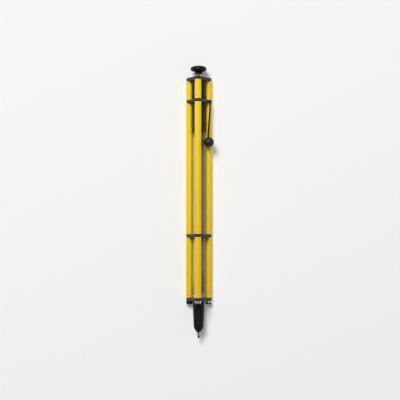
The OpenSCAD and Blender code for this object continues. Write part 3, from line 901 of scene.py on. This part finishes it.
# The front's radius goes from the shoulder to the lip as share^curve
nose_front = unworn(
    nose_front_radius + (mouth_lip - nose_front_radius) * nose_front_share ** nose_front_curve,
    nose_low.y + nose_front_length * (1 - nose_front_share),
)
nose_outline = np.concatenate((
    rounded((
        (mouth_bore, nose_low.y, mouth_bore_edge),
        (mouth_bore, nose_low.y + mouth_depth, 0),
        (nose_neck_bore, nose_low.y + mouth_depth, 0),
        (nose_neck_bore, spring_seat, 0),
        (spring_bore, spring_seat, 0),
        (spring_bore, nose_high.y, spigot_edge),
        (spigot_radius, nose_high.y, spigot_edge),
        (spigot_radius, seat, 0),
        (nose_top_radius, seat, nose_top_edge),
        (nose_front_radius + shoulder_rise, nose_low.y + nose_front_length + shoulder_row, 0),
    ), closed=False),
    nose_front,
))
nose = turned("nose_cone_turned", nose_outline, axis, sides=nose_sides)
dress(nose, black, "frame", "black_metal", "nose_cone")

# Return spring: one drawn steel wire, wound round the refill's neck between its flange and the seat in the
# nose. Its end coils lie closer together.
spring_low, spring_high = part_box("return_spring")
spring_wire = 0.15 * MM
spring_wire_sides = 12
spring_radius = spring_high.x - spring_wire
spring_turns = 11
spring_rows_per_turn = 32
spring_closing = 0.55
spring_cloud = 0.5 * MM

spring_steel, shader, start = finish("spring_steel", {"Metallic": 1.0})
clouds = grain(start, spring_cloud)
mix(start, clouds, paint("#a9a7a2"), paint("#c6c4bf")).into(shader, "Base Color")
(0.2 + clouds * 0.15).into(shader, "Roughness")


def wire(name, path, across, radius, sides):
    """A round wire along a path: each point of the path carries a circle of across and across x direction,
    and the ends close to a point."""
    direction = np.gradient(path, axis=0)
    direction /= np.linalg.norm(direction, axis=1, keepdims=True)
    across = across - direction * np.sum(across * direction, axis=1, keepdims=True)
    across /= np.linalg.norm(across, axis=1, keepdims=True)
    up = np.cross(direction, across)
    angle = np.linspace(0, 2 * np.pi, sides, endpoint=False)
    ring = np.cos(angle)[:, None] * across[:, None] + np.sin(angle)[:, None] * up[:, None]
    first = np.repeat(path[:1, None], sides, axis=1)
    last = np.repeat(path[-1:, None], sides, axis=1)
    points = np.concatenate((first, path[:, None] + radius * ring, last))
    return surface(name, points, np.zeros(len(points)), closed=False)


# The coil rises by share - closing / (2 pi) * sin(2 pi share), so its pitch is least at both ends
share = np.linspace(0, 1, spring_turns * spring_rows_per_turn + 1)
turn = 2 * np.pi * spring_turns * share
rise = share - spring_closing / (2 * np.pi) * np.sin(2 * np.pi * share)
spring_start, spring_end = spring_high.y - spring_wire, spring_low.y + spring_wire
outward = np.column_stack((np.cos(turn), np.zeros(len(turn)), np.sin(turn)))
coil = spring_radius * outward + np.array(axis)
coil[:, 1] = spring_start + (spring_end - spring_start) * rise
spring = wire("return_spring_wound", coil, outward, spring_wire, spring_wire_sides)
spring.data.materials.append(spring_steel)
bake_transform(spring)
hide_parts("return_spring")

# Pocket clip: a black spring wire whose bent root stands in the edge of the clip plate. Its long leg runs
# down over the right tube and enters a dark ball off the ball's centre. The ball lies on the tube and lifts
# when something slides under it.
clip_wire_radius = 0.35 * MM
clip_wire_sides = 32
clip_stand = 0.65 * MM
clip_bend = 0.55 * MM
clip_ball_low, clip_ball_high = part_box("clip_ball")
clip_ball_radius = (clip_ball_high.x - clip_ball_low.x) / 2
clip_ball_centre = np.array((clip_ball_low + clip_ball_high) / 2)
clip_ball_centre[1] = clip_ball_low.y + clip_ball_radius
clip_ball_off = 0.7 * MM
scuff_cell = (0.3 * MM, 2 * MM, 0.3 * MM)
ball_cloud = 1.2 * MM
ball_pit = 0.3 * MM
ball_pit_depth = 0.012 * MM

spring_black, shader, start = finish("black_spring_wire", {"Specular IOR Level": 0.08})
scuffs = grain(start, scuff_cell)
mix(start, scuffs, paint("#050505"), paint("#100e0d")).into(shader, "Base Color")
(0.45 + scuffs * 0.2).into(shader, "Roughness")

# The path is the root, a bend of one radius and the straight leg
clip_edge = clip_root + clip_out * clip_root_length / 2
clip_corner = clip_edge + clip_out * clip_stand
to_axis = np.array((0, clip_ball_centre[1], axis_height)) - clip_ball_centre
clip_end = clip_ball_centre + to_axis / np.linalg.norm(to_axis) * clip_ball_off
clip_run = clip_end - clip_corner
clip_run /= np.linalg.norm(clip_run)
clip_turn = np.arccos(clip_run @ clip_out)
inward = clip_run - clip_out * (clip_run @ clip_out)
inward /= np.linalg.norm(inward)
bend_start = clip_corner - clip_out * clip_bend * np.tan(clip_turn / 2)
bend_centre = bend_start + inward * clip_bend
bend_angle = np.linspace(0, clip_turn, 17)[:, None]
bend = bend_centre + clip_bend * (clip_out * np.sin(bend_angle) - inward * np.cos(bend_angle))
leg_rows = np.linspace(0, 1, 24)[1:, None]
root_rows = np.linspace(0, 1, 4)[:-1, None]
root_end = clip_edge - clip_out * clip_root_length
clip_path = np.concatenate((
    root_end + (bend[0] - root_end) * root_rows,
    bend,
    bend[-1] + (clip_end - bend[-1]) * leg_rows,
))
clip_across = np.repeat(np.cross(clip_out, inward)[None], len(clip_path), axis=0)
clip_wire = wire("clip_wire_bent", clip_path, clip_across, clip_wire_radius, clip_wire_sides)
dress(clip_wire, spring_black, "clip", "black_steel", "clip_wire")

ball_black, shader, start = finish("black_ball", {"Specular IOR Level": 0.4})
clouds = grain(start, ball_cloud)
mix(start, clouds, paint("#1a1416"), paint("#332828")).into(shader, "Base Color")
(0.42 + clouds * 0.2).into(shader, "Roughness")
relief(start, grain(start, ball_pit), ball_pit_depth).into(shader, "Normal")

round_angle = np.linspace(0, np.pi, 61)
clip_ball_outline = unworn(clip_ball_radius * np.sin(round_angle), -clip_ball_radius * np.cos(round_angle))
clip_ball = turned("clip_ball_turned", clip_ball_outline, clip_ball_centre, closed=False)
hole_start = clip_end - clip_run * clip_ball_radius
clip_ball = drilled(clip_ball, hole_start, clip_end, clip_wire_radius + stem_fit)
dress(clip_ball, ball_black, "clip", "black_ball", "clip_ball")

# Surface and light: a smooth white table, a soft key light from the upper left, a long soft box overhead,
# and a room that is dim above and pale round the sides, paler on the right. They aren't part of the pen.
table_half = 12.0
table_speck = 3 * MM
table_glow = 0.15
key_distance = 2.4
key_place = Vector((-0.28, 0.68, 1.0)).normalized() * key_distance
key_size = 1.1
key_power = 48
overhead_place = Vector((-0.15, 0.6, 3.0))
overhead_width = 0.5
overhead_length = 3.4
overhead_power = 13
room_top = 0.08
room_side = 0.45
room_lean = 0.35

mesh = bpy.data.meshes.new("table")
corners = np.array(((-1, -1, 0), (1, -1, 0), (1, 1, 0), (-1, 1, 0))) * table_half
mesh.from_pydata(corners.tolist(), [], [(0, 1, 2, 3)])
table = bpy.data.objects.new("table", mesh)
bpy.context.scene.collection.objects.link(table)
white, shader, start = finish("white_table", {"Specular IOR Level": 0.2})
specks = grain(start, table_speck)
mix(start, specks, paint("#fafafa"), paint("#fcfcfc")).into(shader, "Base Color")
(0.6 + specks * 0.1).into(shader, "Roughness")
rays = ("Is Camera Ray", "Is Glossy Ray", "Is Transmission Ray")
seen = sum(start.make("ShaderNodeLightPath", {}, {}, ray) for ray in rays)
glow = start.make("ShaderNodeEmission", {}, {"Color": paint("#fcfcfc"), "Strength": 1.0})
lit = Signal(start.tree, shader.outputs["BSDF"])
pale = start.make("ShaderNodeMixShader", {}, {0: seen * table_glow, 1: lit, 2: glow})
pale.into(white.node_tree.nodes["Material Output"], "Surface")
mesh.materials.append(white)


def soft_light(name, shape, place, power, width, length):
    """An area light at a place, turned to face the pen."""
    light = bpy.data.objects.new(name, bpy.data.lights.new(name, "AREA"))
    light.data.shape = shape
    light.data.energy = power
    light.data.size = width
    light.data.size_y = length
    light.location = place
    light.rotation_euler = place.to_track_quat("Z", "Y").to_euler()
    bpy.context.scene.collection.objects.link(light)


soft_light("key_light", "DISK", key_place, key_power, key_size, key_size)
soft_light("overhead_box", "RECTANGLE", overhead_place, overhead_power, overhead_width, overhead_length)

room = bpy.data.worlds.new("room")
room.use_nodes = True
bpy.context.scene.world = room
start = Signal(room.node_tree)
facing = start.make("ShaderNodeTexCoord", {}, {}, "Generated")
sideways, height = (start.make("ShaderNodeSeparateXYZ", {}, {"Vector": facing}, part) for part in "XZ")
low_share = 1 - start.maths("MAXIMUM", height, 0.0)
level = room_top + (room_side - room_top + room_lean * sideways) * low_share * low_share
level.into(room.node_tree.nodes["Background"], "Color")
